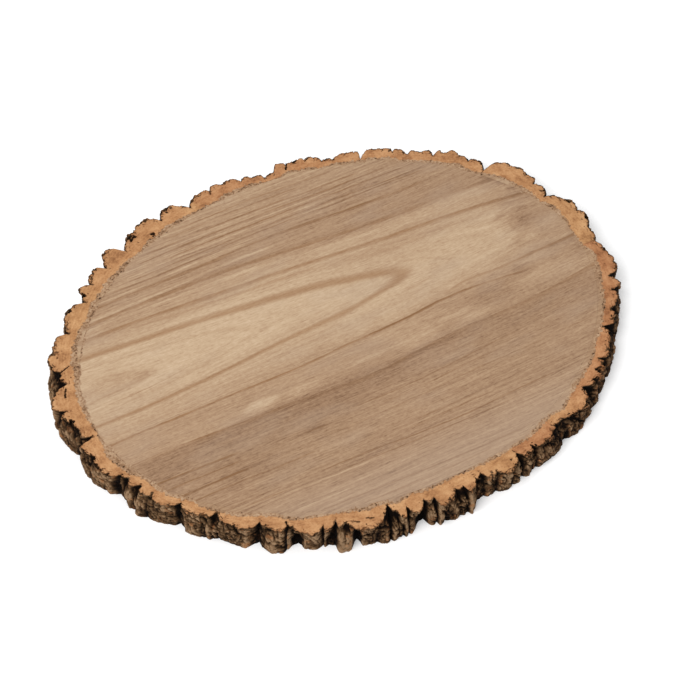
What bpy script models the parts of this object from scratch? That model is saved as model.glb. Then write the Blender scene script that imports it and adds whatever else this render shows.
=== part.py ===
"""Oval rustic board: a flat-sawn wood oval with strips of furrowed bark glued round its edge.

Metres, +Z up. The origin is under the middle, on the surface that the board lies on, and +X runs
the long way, along the grain. Angles are in degrees anticlockwise from +X, seen from above.
"""

import math

import bmesh
import bpy
from mathutils import Vector, noise

# Driving dimensions in metres
THICKNESS = 0.020
FACE_LENGTH = 0.372
FACE_WIDTH = 0.297
SEAM_WIDTH = 0.0032
SEAM_UNDERSIDE = 0.0012
SEAM_TOP_DROP = 0.0004
GAP = 0.0003
JOINT_GAP = 0.0005
LEAST_BARK = 0.0014
MILLIMETRE = 0.001

# The seam's outer edge wanders in and out
SEAM_WANDER = 0.0021
SEAM_WANDER_LIMIT = 0.0020
SEAM_WAVES = 8.0

# Below the cut top, over SIDE_FADE of the thickness, the bark's side evens out towards a mean reach in
# millimetres, so furrows grow shallower, and it wanders in and out
SIDE_LEVELS = (0.0, 0.09, 0.34, 0.62, 0.87, 1.0)
SIDE_FADE = 0.45
SIDE_EVENING = 0.5
SIDE_REACH = 12.3
SIDE_WANDER = 2.6
SIDE_WAVES = 13.0
SIDE_WAVES_UP = 1.7
SIDE_LEAN = 2.6

# Steps round the oval
BOARD_STEPS = 180
SEAM_STEPS = 240
BARK_STEP = 0.95
SMOOTH_BELOW = math.radians(35)

# Each strip of bark, as corners of its cut top: angle in degrees, and reach in millimetres past the
# face's edge. High corners are rounded lobes, and low ones are furrows.
BARK_STRIPS = (
    (
        (-5.5, 8.9), (-3.2, 11.1), (-1.3, 9.8), (0.2, 14.3), (2.0, 16.5), (3.5, 13.5), (6.3, 16.1),
        (7.8, 12.2), (9.7, 10.5), (10.7, 3.8), (12.7, 11.1), (14.4, 11.0), (15.0, 8.8), (16.3, 15.4),
        (18.0, 14.9), (20.5, 18.2), (21.6, 16.3), (22.8, 17.8), (25.3, 14.0), (26.1, 1.8),
    ),
    (
        (26.1, 1.8), (28.6, 11.2), (30.3, 11.4), (30.7, 8.5), (31.4, 11.8), (33.3, 12.3),
        (35.3, 15.6), (37.0, 12.8), (38.1, 13.9), (38.8, 7.4), (40.2, 12.4), (42.2, 9.8),
        (44.1, 11.4), (44.7, 6.5), (47.0, 11.5), (48.2, 11.8), (48.6, 9.5), (49.2, 11.7),
        (51.4, 12.5), (54.9, 11.3), (55.6, 7.0), (56.2, 1.8),
    ),
    (
        (56.2, 1.8), (57.3, 10.3), (61.2, 9.5), (63.4, 5.1), (64.5, 7.5), (66.3, 5.1),
        (68.0, 10.0), (69.8, 11.7), (70.8, 10.3), (72.3, 11.9), (73.6, 10.6), (75.6, 10.8),
        (76.0, 8.2), (76.4, 10.8), (78.4, 11.9), (79.6, 5.2), (82.9, 2.4),
    ),
    (
        (82.9, 2.4), (83.4, 6.4), (84.6, 6.7), (86.0, 5.8), (87.5, 9.6), (88.3, 8.6), (89.0, 5.6),
        (90.7, 11.7), (92.5, 12.3), (94.0, 11.1), (95.4, 13.2), (96.8, 13.0), (97.7, 8.8),
        (99.0, 12.6), (101.0, 12.3), (103.3, 10.1), (105.4, 4.2),
    ),
    (
        (105.4, 4.2), (107.0, 9.8), (108.7, 15.6), (110.0, 16.4), (112.3, 13.7), (113.8, 7.2),
        (114.4, 14.8), (116.5, 18.8), (118.5, 17.8), (120.7, 15.4), (121.7, 16.6), (124.6, 11.9),
        (126.8, 6.9), (127.3, 16.5), (128.2, 19.3), (129.5, 18.9), (131.5, 14.1), (133.4, 7.6),
        (133.9, 15.2), (134.8, 16.5), (135.7, 14.9), (136.8, 16.1), (138.2, 13.6), (138.9, 9.4),
        (139.7, 14.6), (140.7, 16.4), (142.3, 11.0), (144.4, 7.5),
    ),
    (
        (144.4, 7.5), (145.8, 14.1), (147.6, 16.5), (150.0, 14.4), (152.4, 12.0), (153.3, 8.5),
        (154.1, 16.0), (156.3, 17.1), (158.0, 16.2), (159.6, 19.3), (161.8, 16.5), (163.5, 10.6),
        (165.2, 10.6), (166.7, 5.6), (168.7, 14.2), (170.0, 17.1), (171.8, 18.0), (173.4, 10.6),
        (174.4, 13.6), (176.0, 11.2), (178.3, 8.4), (180.2, 8.2), (181.6, 1.9),
    ),
    (
        (181.6, 1.9), (182.7, 12.2), (185.3, 10.7), (186.0, 8.4), (187.5, 12.0), (189.6, 13.0),
        (191.1, 12.3), (192.7, 5.4), (193.5, 7.2), (194.4, 5.4), (195.8, 8.6), (197.3, 2.9),
        (198.8, 9.8), (200.4, 8.6),
    ),
    (
        (200.4, 8.6), (203.5, 10.6), (204.8, 9.3), (206.5, 3.5), (207.4, 6.6), (210.0, 8.8),
        (213.0, 8.2), (214.1, 2.7), (216.3, 9.4), (218.0, 11.1), (221.0, 12.9), (222.3, 11.0),
        (223.3, 6.1), (224.3, 9.6), (226.0, 10.3), (228.3, 12.9), (229.4, 7.7),
    ),
    (
        (229.4, 7.7), (231.5, 12.4), (233.0, 14.2), (235.4, 16.2), (236.9, 8.9), (237.5, 13.4),
        (238.4, 12.4), (239.5, 6.5), (240.4, 11.8), (241.6, 9.0), (243.0, 11.8), (245.5, 16.6),
        (247.6, 17.4), (249.2, 14.0), (250.4, 9.8), (251.7, 1.9),
    ),
    (
        (251.7, 1.9), (252.8, 8.2), (253.5, 8.8), (255.0, 15.4), (255.9, 6.3), (256.9, 11.6),
        (258.0, 14.2), (259.2, 12.2), (260.3, 5.4), (261.5, 9.4), (262.9, 5.7), (263.5, 14.5),
        (264.5, 15.1), (266.5, 12.8), (268.6, 6.3), (269.5, 8.7), (270.6, 6.6), (271.3, 13.9),
        (272.2, 12.6), (274.0, 7.2), (276.1, 5.4), (277.5, 11.1), (279.4, 9.7), (280.3, 13.8),
        (282.0, 15.8), (283.3, 13.6), (284.3, 14.1), (286.6, 5.5),
    ),
    (
        (286.6, 5.5), (288.3, 12.3), (289.6, 11.5), (290.8, 7.8), (291.6, 12.0), (295.0, 12.3),
        (297.5, 10.5), (299.0, 7.8), (301.0, 8.8), (303.0, 11.4), (305.0, 13.6), (307.0, 16.2),
        (308.5, 13.6), (312.0, 6.0), (314.0, 11.6), (314.9, 9.6), (317.0, 13.3), (320.3, 10.3),
        (321.0, 5.8), (321.6, 11.6), (325.0, 10.4), (328.2, 8.2), (330.4, 2.5),
    ),
    (
        (330.4, 2.5), (331.3, 9.6), (333.8, 10.0), (335.3, 5.7), (336.6, 10.0), (339.7, 12.2),
        (340.3, 8.0), (342.0, 14.5), (343.0, 12.8), (344.5, 7.4), (345.8, 15.0), (347.1, 15.4),
        (347.9, 14.2), (348.7, 15.3), (350.0, 12.8), (351.4, 11.9), (354.5, 8.9),
    ),
)

# Where the side stands out (or falls back, if negative) below the cut top: middle and half width in
# degrees, and millimetres
SIDE_SWELLS = (
    (165.0, 5.0, 6.5), (171.5, 5.0, 3.2), (177.0, 3.5, 3.6), (185.0, 5.0, 2.6), (192.8, 1.6, -1.8),
    (197.8, 2.5, 2.2), (207.2, 1.2, -2.4), (214.0, 1.2, 3.2), (222.7, 1.6, -3.2), (226.5, 2.0, 3.0),
    (229.0, 1.2, 2.6), (231.4, 1.6, -4.0), (238.2, 1.0, -2.4), (241.6, 2.4, 6.5), (244.2, 1.2, -5.0),
    (251.6, 3.0, 6.5), (256.0, 1.3, 3.8), (259.1, 1.8, -6.5), (262.8, 2.0, 4.0), (268.9, 4.0, 5.4),
    (286.5, 3.0, 3.0), (295.0, 8.0, 2.6), (301.0, 1.2, -2.0), (304.0, 7.0, 2.4), (311.8, 3.6, 4.0),
    (324.0, 8.0, 2.4), (337.0, 8.0, 2.6),
)

# Colours (linear) and roughness from the photo
WOOD_COLOUR = (0.49, 0.32, 0.195, 1.0)
SEAM_COLOUR = (0.29, 0.19, 0.12, 1.0)
BARK_COLOUR = (0.25, 0.13, 0.065, 1.0)
WOOD_ROUGHNESS = 0.6
SEAM_ROUGHNESS = 0.85
BARK_ROUGHNESS = 0.9


def clear_scene():
    for obj in list(bpy.data.objects):
        bpy.data.objects.remove(obj, do_unlink=True)


def matt_material(name, colour, roughness):
    material = bpy.data.materials.new(name)
    material.use_nodes = True
    shader = material.node_tree.nodes["Principled BSDF"]
    shader.inputs["Base Color"].default_value = colour
    shader.inputs["Roughness"].default_value = roughness
    shader.inputs["Metallic"].default_value = 0.0
    return material


def add_object(name, mesh, material, parent):
    """A scene object from a bmesh, with its faces turned outwards."""
    bmesh.ops.recalc_face_normals(mesh, faces=mesh.faces)
    data = bpy.data.meshes.new(name)
    mesh.to_mesh(data)
    mesh.free()
    data.shade_smooth()
    data.set_sharp_from_angle(angle=SMOOTH_BELOW)
    data.materials.append(material)
    obj = bpy.data.objects.new(name, data)
    obj.parent = parent
    bpy.context.collection.objects.link(obj)
    return obj


def oval_radius(length, width, angle):
    """Distance from the middle to an ellipse's edge, at an angle in radians."""
    half_length = length / 2
    half_width = width / 2
    across = math.hypot(half_width * math.cos(angle), half_length * math.sin(angle))
    return half_length * half_width / across


def face_radius(angle):
    return oval_radius(FACE_LENGTH, FACE_WIDTH, angle)


def board_radius(angle):
    return oval_radius(FACE_LENGTH - 2 * SEAM_WIDTH, FACE_WIDTH - 2 * SEAM_WIDTH, angle)


def seam_inner_radius(angle):
    return board_radius(angle) + GAP


def seam_outer_radius(angle):
    """The seam's outer edge wanders in and out, because the bark's inner side isn't straight."""
    place = Vector((math.cos(angle), math.sin(angle), 0.0)) * SEAM_WAVES
    wander = SEAM_WANDER * noise.noise(place)
    return face_radius(angle) + min(SEAM_WANDER_LIMIT, max(-SEAM_WANDER_LIMIT, wander))


def ring_point(angle, radius, height):
    return Vector((radius * math.cos(angle), radius * math.sin(angle), height))


def reach_between(start, end, angle):
    """Reach between two corners of an outline: level beside the higher one, steep beside the lower."""
    share = (angle - start[0]) / (end[0] - start[0]) * math.pi / 2
    if end[1] > start[1]:
        return start[1] + (end[1] - start[1]) * math.sin(share)
    return end[1] + (start[1] - end[1]) * math.cos(share)


def top_outline(corners):
    """Angle in degrees and reach in millimetres of each step along a strip's cut top."""
    outline = [corners[0]]
    for start, end in zip(corners, corners[1:]):
        steps = math.ceil((end[0] - start[0]) / BARK_STEP)
        for step in range(1, steps + 1):
            angle = start[0] + (end[0] - start[0]) * step / steps
            outline.append((angle, reach_between(start, end, angle)))
    return outline


def swell(degrees):
    """How far the side stands out below the cut top, in millimetres."""
    total = 0.0
    for middle, half_width, height in SIDE_SWELLS:
        away = abs(degrees - middle) / half_width
        if away < 1.0:
            total += height * math.cos(away * math.pi / 2)
    return total


def side_reach(degrees, reach, level):
    """Reach of the side in millimetres, at a level from 0 (bottom) to 1 (the cut top, where it is reach)."""
    angle = math.radians(degrees + SIDE_LEAN * level)
    place = Vector((math.cos(angle) * SIDE_WAVES, math.sin(angle) * SIDE_WAVES, level * SIDE_WAVES_UP))
    change = SIDE_EVENING * (SIDE_REACH - reach) + swell(degrees) + SIDE_WANDER * noise.noise(place)
    return reach + change * min(1.0, (1.0 - level) / SIDE_FADE)


def bark_section(degrees, reach, angle):
    """One cross-section of a strip: up its outer side, and back along the top to its inner side."""
    inner = seam_outer_radius(angle) + GAP
    points = [ring_point(angle, inner, 0.0)]
    for level in SIDE_LEVELS:
        outer = face_radius(angle) + side_reach(degrees, reach, level) * MILLIMETRE
        points.append(ring_point(angle, max(outer, inner + LEAST_BARK), level * THICKNESS))
    points.append(ring_point(angle, inner, THICKNESS))
    return points


def bark_sections(corners):
    """The cross-sections of one strip, which stops half a joint short of its neighbours."""
    outline = top_outline(corners)
    first = outline[0][0]
    last = outline[-1][0]
    sections = []
    for degrees, reach in outline:
        angle = math.radians(degrees)
        half_joint = JOINT_GAP / 2 / face_radius(angle)
        if degrees == first:
            angle += half_joint
        if degrees == last:
            angle -= half_joint
        sections.append(bark_section(degrees, reach, angle))
    return sections


def make_bark_strip(name, sections, material, parent):
    """A closed strip: its first section is a face, pulled out along the strip one section at a time."""
    mesh = bmesh.new()
    end_cap = mesh.faces.new([mesh.verts.new(point) for point in sections[0]])
    face = end_cap
    for section in sections[1:]:
        pulled = bmesh.ops.extrude_face_region(mesh, geom=[face])["geom"]
        if face is not end_cap:
            mesh.faces.remove(face)
        face = next(item for item in pulled if isinstance(item, bmesh.types.BMFace))
        for vert, point in zip(face.verts, section):
            vert.co = point
    return add_object(name, mesh, material, parent)


def make_board(material, parent):
    """The oval board: a disc drawn out to the oval and raised to its thickness."""
    mesh = bmesh.new()
    bmesh.ops.create_circle(mesh, cap_ends=True, segments=BOARD_STEPS, radius=1.0)
    for vert in mesh.verts:
        angle = math.atan2(vert.co.y, vert.co.x)
        vert.co = ring_point(angle, board_radius(angle), 0.0)
    raise_faces(mesh, THICKNESS)
    return add_object("wood_board", mesh, material, parent)


def make_seam(material, parent):
    """The ring of glue and sawdust, kept just short of the board's two faces."""
    mesh = bmesh.new()
    for radius_at in (seam_inner_radius, seam_outer_radius):
        ring = bmesh.ops.create_circle(mesh, segments=SEAM_STEPS, radius=1.0)["verts"]
        for vert in ring:
            angle = math.atan2(vert.co.y, vert.co.x)
            vert.co = ring_point(angle, radius_at(angle), SEAM_UNDERSIDE)
    bmesh.ops.bridge_loops(mesh, edges=mesh.edges)
    raise_faces(mesh, THICKNESS - SEAM_TOP_DROP - SEAM_UNDERSIDE)
    return add_object("filler_seam", mesh, material, parent)


def raise_faces(mesh, height):
    pulled = bmesh.ops.extrude_face_region(mesh, geom=mesh.faces[:])["geom"]
    top = [item for item in pulled if isinstance(item, bmesh.types.BMVert)]
    bmesh.ops.translate(mesh, verts=top, vec=(0.0, 0.0, height))


def middle_of(strips):
    """The middle of the finished outline, seen from above."""
    points = [point for sections in strips for section in sections for point in section]
    xs = [point.x for point in points]
    ys = [point.y for point in points]
    return Vector(((min(xs) + max(xs)) / 2, (min(ys) + max(ys)) / 2, 0.0))


def build():
    clear_scene()
    strips = [bark_sections(corners) for corners in BARK_STRIPS]
    centre = bpy.data.objects.new("board_centre", None)
    centre.location = -middle_of(strips)
    bpy.context.collection.objects.link(centre)

    wood = matt_material("flat_sawn_wood", WOOD_COLOUR, WOOD_ROUGHNESS)
    glue = matt_material("glue_and_sawdust", SEAM_COLOUR, SEAM_ROUGHNESS)
    bark = matt_material("furrowed_bark", BARK_COLOUR, BARK_ROUGHNESS)
    make_board(wood, centre)
    make_seam(glue, centre)
    for number, sections in enumerate(strips, start=1):
        make_bark_strip(f"bark_strip_{number:02d}", sections, bark, centre)


build()
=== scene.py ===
"""Looks of the oval rustic board: a flat-sawn wood face, crumbly filler and strips of furrowed bark.

Lengths are in millimetres in the tables and the shaping, and in metres in the meshes. Angles are in
degrees anticlockwise from +X, seen from above. A reach is a distance outwards from the face's edge.
"""

import math
from bisect import bisect_right

import bmesh
import bpy
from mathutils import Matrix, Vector, noise


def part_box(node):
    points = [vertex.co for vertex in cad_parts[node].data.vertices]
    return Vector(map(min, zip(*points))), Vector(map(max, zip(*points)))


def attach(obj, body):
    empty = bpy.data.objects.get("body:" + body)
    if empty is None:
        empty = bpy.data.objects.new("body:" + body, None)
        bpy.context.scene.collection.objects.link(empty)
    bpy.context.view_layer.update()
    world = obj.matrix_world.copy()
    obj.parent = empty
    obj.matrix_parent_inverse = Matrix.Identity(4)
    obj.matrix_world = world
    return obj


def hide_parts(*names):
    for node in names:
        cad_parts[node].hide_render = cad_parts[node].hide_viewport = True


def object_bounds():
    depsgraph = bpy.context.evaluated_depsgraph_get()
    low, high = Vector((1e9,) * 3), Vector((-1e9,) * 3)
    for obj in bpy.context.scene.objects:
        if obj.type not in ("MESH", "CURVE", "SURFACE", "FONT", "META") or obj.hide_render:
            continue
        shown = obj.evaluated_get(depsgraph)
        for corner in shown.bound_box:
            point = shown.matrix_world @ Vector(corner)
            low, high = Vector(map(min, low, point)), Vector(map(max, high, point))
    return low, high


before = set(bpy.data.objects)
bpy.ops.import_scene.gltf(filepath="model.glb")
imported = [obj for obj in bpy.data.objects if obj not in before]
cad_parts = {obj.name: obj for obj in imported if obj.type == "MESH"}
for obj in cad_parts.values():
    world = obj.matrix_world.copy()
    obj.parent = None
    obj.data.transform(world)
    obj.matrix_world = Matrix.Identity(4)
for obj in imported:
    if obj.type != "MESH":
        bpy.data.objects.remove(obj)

MILLIMETRE = 0.001
CAD_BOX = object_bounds()
BOARD_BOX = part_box("wood_board")
CENTRE = (BOARD_BOX[0] + BOARD_BOX[1]) / 2
THICKNESS = BOARD_BOX[1].z / MILLIMETRE

# The oval face, and the board inside the filler
FACE_LENGTH = 372.0
FACE_WIDTH = 297.0
SEAM_WIDTH = 3.2
FACE_MEAN_RADIUS = 165.0

# The rim's mean radius, which patterns that run along the rim are measured on
RIM_RADIUS = 167.0

# The photograph's view
VIEW_TURN = math.radians(-29.2)
VIEW_HEIGHT = math.radians(50.0)
VIEW_DISTANCE = 1.349
VIEW_TARGET = Vector((-0.00235, -0.01307, 0.010))
LENS = 102.86
SENSOR = 36.0

# Floor and light, in metres and watts: each light's place, size and power
FLOOR_HALF_SIZE = 6.0
FLOOR_DROP = 0.0002
FLOOR_GREY = 0.93
FLOOR_GLOW = 0.12
SKY_STRENGTH = 0.63
KEY_LIGHT = ((-1.7, -0.9, 2.4), 2.0, 74.0)
FILL_LIGHT = ((1.8, 1.2, 2.2), 2.5, 10.0)

# Each strip of bark, as corners of its cut top: angle, and reach past the face's edge. High corners
# are rounded lobes, and low ones are furrows.
BARK_STRIPS = (
    (
        (-5.5, 8.9), (-3.2, 11.1), (-1.3, 9.8), (0.2, 14.3), (2.0, 16.5), (3.5, 13.5), (6.3, 16.1),
        (7.8, 12.2), (9.7, 10.5), (10.7, 3.8), (12.7, 11.1), (14.4, 11.0), (15.0, 8.8), (16.3, 15.4),
        (18.0, 14.9), (20.5, 18.2), (21.6, 16.3), (22.8, 17.8), (25.3, 14.0), (26.1, 1.8),
    ),
    (
        (26.1, 1.8), (28.6, 11.2), (30.3, 11.4), (30.7, 8.5), (31.4, 11.8), (33.3, 12.3),
        (35.3, 15.6), (37.0, 12.8), (38.1, 13.9), (38.8, 7.4), (40.2, 12.4), (42.2, 9.8),
        (44.1, 11.4), (44.7, 6.5), (47.0, 11.5), (48.2, 11.8), (48.6, 9.5), (49.2, 11.7),
        (51.4, 12.5), (54.9, 11.3), (55.6, 7.0), (56.2, 1.8),
    ),
    (
        (56.2, 1.8), (57.3, 10.3), (61.2, 9.5), (63.4, 5.1), (64.5, 7.5), (66.3, 5.1),
        (68.0, 10.0), (69.8, 11.7), (70.8, 10.3), (72.3, 11.9), (73.6, 10.6), (75.6, 10.8),
        (76.0, 8.2), (76.4, 10.8), (78.4, 11.9), (79.6, 5.2), (82.9, 2.4),
    ),
    (
        (82.9, 2.4), (83.4, 6.4), (84.6, 6.7), (86.0, 5.8), (87.5, 9.6), (88.3, 8.6), (89.0, 5.6),
        (90.7, 11.7), (92.5, 12.3), (94.0, 11.1), (95.4, 13.2), (96.8, 13.0), (97.7, 8.8),
        (99.0, 12.6), (101.0, 12.3), (103.3, 10.1), (105.4, 4.2),
    ),
    (
        (105.4, 4.2), (107.0, 9.8), (108.7, 15.6), (110.0, 16.4), (112.3, 13.7), (113.8, 7.2),
        (114.4, 14.8), (116.5, 18.8), (118.5, 17.8), (120.7, 15.4), (121.7, 16.6), (124.6, 11.9),
        (126.8, 6.9), (127.3, 16.5), (128.2, 19.3), (129.5, 18.9), (131.5, 14.1), (133.4, 7.6),
        (133.9, 15.2), (134.8, 16.5), (135.7, 14.9), (136.8, 16.1), (138.2, 13.6), (138.9, 9.4),
        (139.7, 14.6), (140.7, 16.4), (142.3, 11.0), (144.4, 7.5),
    ),
    (
        (144.4, 7.5), (145.8, 14.1), (147.6, 16.5), (150.0, 14.4), (152.4, 12.0), (153.3, 8.5),
        (154.1, 16.0), (156.3, 17.1), (158.0, 16.2), (159.6, 19.3), (161.8, 16.5), (163.5, 10.6),
        (165.2, 10.6), (166.7, 5.6), (168.7, 14.2), (170.0, 17.1), (171.8, 18.0), (173.4, 10.6),
        (174.4, 13.6), (176.0, 11.2), (178.3, 8.4), (180.2, 8.2), (181.6, 1.9),
    ),
    (
        (181.6, 1.9), (182.7, 12.2), (185.3, 10.7), (186.0, 8.4), (187.5, 12.0), (189.6, 13.0),
        (191.1, 12.3), (192.7, 5.4), (193.5, 7.2), (194.4, 5.4), (195.8, 8.6), (197.3, 2.9),
        (198.8, 9.8), (200.4, 8.6),
    ),
    (
        (200.4, 8.6), (203.5, 10.6), (204.8, 9.3), (206.5, 3.5), (207.4, 6.6), (210.0, 8.8),
        (213.0, 8.2), (214.1, 2.7), (216.3, 9.4), (218.0, 11.1), (221.0, 12.9), (222.3, 11.0),
        (223.3, 6.1), (224.3, 9.6), (226.0, 10.3), (228.3, 12.9), (229.4, 7.7),
    ),
    (
        (229.4, 7.7), (231.5, 12.4), (233.0, 14.2), (235.4, 16.2), (236.9, 8.9), (237.5, 13.4),
        (238.4, 12.4), (239.5, 6.5), (240.4, 11.8), (241.6, 9.0), (243.0, 11.8), (245.5, 16.6),
        (247.6, 17.4), (249.2, 14.0), (250.4, 9.8), (251.7, 1.9),
    ),
    (
        (251.7, 1.9), (252.8, 8.2), (253.5, 8.8), (255.0, 15.4), (255.9, 6.3), (256.9, 11.6),
        (258.0, 14.2), (259.2, 12.2), (260.3, 5.4), (261.5, 9.4), (262.9, 5.7), (263.5, 14.5),
        (264.5, 15.1), (266.5, 12.8), (268.6, 6.3), (269.5, 8.7), (270.6, 6.6), (271.3, 13.9),
        (272.2, 12.6), (274.0, 7.2), (276.1, 5.4), (277.5, 11.1), (279.4, 9.7), (280.3, 13.8),
        (282.0, 15.8), (283.3, 13.6), (284.3, 14.1), (286.6, 5.5),
    ),
    (
        (286.6, 5.5), (288.3, 12.3), (289.6, 11.5), (290.8, 7.8), (291.6, 12.0), (295.0, 12.3),
        (297.5, 10.5), (299.0, 7.8), (301.0, 8.8), (303.0, 11.4), (305.0, 13.6), (307.0, 16.2),
        (308.5, 13.6), (312.0, 6.0), (314.0, 11.6), (314.9, 9.6), (317.0, 13.3), (320.3, 10.3),
        (321.0, 5.8), (321.6, 11.6), (325.0, 10.4), (328.2, 8.2), (330.4, 2.5),
    ),
    (
        (330.4, 2.5), (331.3, 9.6), (333.8, 10.0), (335.3, 5.7), (336.6, 10.0), (339.7, 12.2),
        (340.3, 8.0), (342.0, 14.5), (343.0, 12.8), (344.5, 7.4), (345.8, 15.0), (347.1, 15.4),
        (347.9, 14.2), (348.7, 15.3), (350.0, 12.8), (351.4, 11.9), (354.5, 8.9),
    ),
)

# Where the side stands out (or falls back, if negative) below the cut top: middle, half width, reach
SIDE_SWELLS = (
    (165.0, 5.0, 6.5), (171.5, 5.0, 3.2), (177.0, 3.5, 3.6), (185.0, 5.0, 2.6), (192.8, 1.6, -1.8),
    (197.8, 2.5, 2.2), (207.2, 1.2, -2.4), (214.0, 1.2, 3.2), (222.7, 1.6, -3.2), (226.5, 2.0, 3.0),
    (229.0, 1.2, 2.6), (231.4, 1.6, -4.0), (238.2, 1.0, -2.4), (241.6, 2.4, 6.5), (244.2, 1.2, -5.0),
    (251.6, 3.0, 6.5), (256.0, 1.3, 3.8), (259.1, 1.8, -6.5), (262.8, 2.0, 4.0), (268.9, 4.0, 5.4),
    (286.5, 3.0, 3.0), (295.0, 8.0, 2.6), (301.0, 1.2, -2.0), (304.0, 7.0, 2.4), (311.8, 3.6, 4.0),
    (324.0, 8.0, 2.4), (337.0, 8.0, 2.6),
)
SIDE_FADE = 0.45
SIDE_EVENING = 0.5
SIDE_REACH = 12.3
SIDE_WANDER = 2.6
SIDE_WAVES = 13.0
SIDE_WAVES_UP = 1.7
SIDE_LEAN = 2.6
LEAST_BARK = 1.4
LEAST_SEAM = 0.4

# The bark's inner edge, where the filler meets it: angle, and reach
SEAM_EDGE = (
    (-8.0, 2.5), (-5.5, -2.3), (0.0, -2.2), (2.0, 0.0), (7.0, 1.9), (9.0, 0.5), (10.5, -1.8),
    (13.0, 0.5), (18.0, 1.7), (24.0, 1.8), (26.0, -1.1), (28.0, -1.0), (30.0, 0.0), (32.0, 3.6),
    (34.0, 1.0), (36.0, 1.8), (40.0, 0.6), (44.0, 0.0), (46.0, -0.4), (49.0, 3.0), (52.0, 1.6),
    (54.0, 2.6), (55.0, 0.5), (60.0, 0.4), (64.0, -0.8), (67.0, -2.8), (70.0, 0.6), (73.0, -0.5),
    (76.0, 1.4), (79.0, -2.5), (82.0, -2.8), (85.0, -1.8), (87.0, 0.4), (96.0, 0.4), (98.0, -1.8),
    (104.0, -2.1), (108.0, -0.8), (112.0, 0.4),
    (115.0, 1.0), (118.0, -0.6), (121.0, 0.6), (123.5, -1.0), (127.0, -2.5), (130.0, 0.4), (133.0, -0.7),
    (136.0, 1.1), (138.0, 1.7), (141.0, 0.3), (145.0, 2.3), (149.0, -1.2), (152.0, 1.7), (157.0, 3.0),
    (162.0, 2.4), (164.0, 0.0), (171.0, 0.0), (179.0, -2.4), (181.0, -2.8), (184.0, -1.2), (187.0, 1.8),
    (193.0, 1.5), (195.0, -0.8), (197.0, -1.6), (200.0, 0.4), (204.0, 1.0), (208.0, -1.3), (211.0, 1.0),
    (218.0, 2.6), (225.0, 0.0), (230.0, 3.0), (236.0, 1.2), (240.0, 0.0), (247.0, 1.8), (250.0, -1.0),
    (254.0, 1.5), (256.0, 0.6), (258.0, -1.7), (262.0, -0.3), (270.0, -2.4), (275.0, -1.6), (280.0, 0.0),
    (286.0, 0.5), (291.0, 1.7), (296.0, 2.3), (301.0, 0.4), (304.0, 4.2), (310.0, 1.8), (317.0, 1.8),
    (320.0, 2.4), (326.0, 0.0), (328.0, 0.9), (331.0, 1.2), (334.0, 1.0), (337.0, 1.7), (342.0, 1.2),
    (348.0, 2.2), (351.0, 2.8), (352.0, 2.5),
)

# Cracks and pits in the cut top: from and to, as angle and reach, then width and depth
BARK_CRACKS = (
    ((75.4, 11.0), (76.3, 4.0), 0.5, 1.2), ((97.3, 13.0), (98.2, 6.0), 0.4, 0.6),
    ((118.4, 2.2), (118.6, 3.2), 1.0, 1.6), ((118.9, -0.4), (119.1, 0.4), 0.8, 1.4),
    ((162.2, 4.0), (163.6, 9.5), 0.5, 1.0), ((168.0, 6.2), (170.0, 7.6), 0.5, 0.9),
    ((201.2, 9.0), (200.2, 3.5), 0.5, 1.0), ((229.6, 9.0), (228.8, 3.8), 0.5, 0.9),
    ((243.2, 7.6), (244.6, 8.6), 0.4, 0.6), ((246.4, 7.0), (248.0, 8.0), 0.4, 0.6),
    ((251.7, 3.0), (251.5, -0.6), 0.4, 0.9), ((298.9, 9.0), (298.5, 5.2), 0.4, 0.6),
    ((330.3, 3.5), (330.2, -0.6), 0.4, 0.7), ((181.5, 3.5), (181.2, 0.4), 0.4, 0.8),
)

# How far from an angle, in degrees, a crack or hollow is still looked for, half the bark's usual
# breadth, and the most that the cut top may drop
NEAR_ANGLE = 4.0
HALF_BARK = 6.0
MOST_DROP = 3.0

# Broad hollows where the cut top has broken away: angle, reach, half width along and across, depth
BARK_HOLLOWS = (
    (110.0, 14.0, 3.0, 2.5, 2.0), (117.5, 17.0, 4.0, 2.2, 2.2), (122.8, 13.8, 4.5, 3.2, 2.6),
    (142.5, 10.5, 3.0, 3.0, 2.4), (147.0, 14.5, 3.0, 2.0, 2.0), (158.5, 14.5, 3.5, 3.0, 0.35),
    (166.0, 9.4, 3.0, 2.2, 1.8), (177.5, 8.6, 5.0, 2.6, 2.6), (1.0, 13.6, 3.0, 2.6, 2.0),
    (7.0, 14.0, 2.5, 2.2, 2.0), (318.0, 9.5, 3.0, 2.0, 2.0), (193.5, 6.4, 2.6, 2.0, 2.4),
)

# How red the cut bark is, from 0, yellow-orange, to 1, red-orange: angle, and redness
REDNESS = (
    (-5.4, 0.1), (0.0, 0.2), (14.0, 0.4), (40.0, 0.5), (75.0, 0.7), (96.0, 0.8), (103.0, 0.6),
    (104.0, 0.1), (108.0, 0.4), (139.0, 0.4), (142.0, 0.1), (160.0, 0.3), (200.0, 0.4),
    (250.0, 0.4), (274.0, 0.3), (286.5, 0.2), (286.7, 0.9), (298.5, 0.9), (299.0, 0.3),
    (306.0, 0.5), (312.0, 0.9), (354.4, 1.0),
)

# How much darker, or lighter if negative, the old bark of the side is: angle, and darkness
DARKNESS = (
    (-60.0, 0.07), (-40.0, 0.10), (-20.0, 0.12), (10.0, 0.12), (40.0, 0.0), (150.0, 0.0),
    (180.0, -0.06), (235.0, -0.06), (250.0, 0.04), (265.0, 0.04), (275.0, -0.04), (288.0, -0.04),
    (300.0, 0.07),
)


def straight_between(table, value):
    """A table's second column at a value of its first, along straight lines between its rows."""
    firsts = [row[0] for row in table]
    place = min(max(bisect_right(firsts, value), 1), len(table) - 1)
    low = table[place - 1]
    high = table[place]
    share = min(1.0, max(0.0, (value - low[0]) / (high[0] - low[0])))
    return low[1] + (high[1] - low[1]) * share


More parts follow.
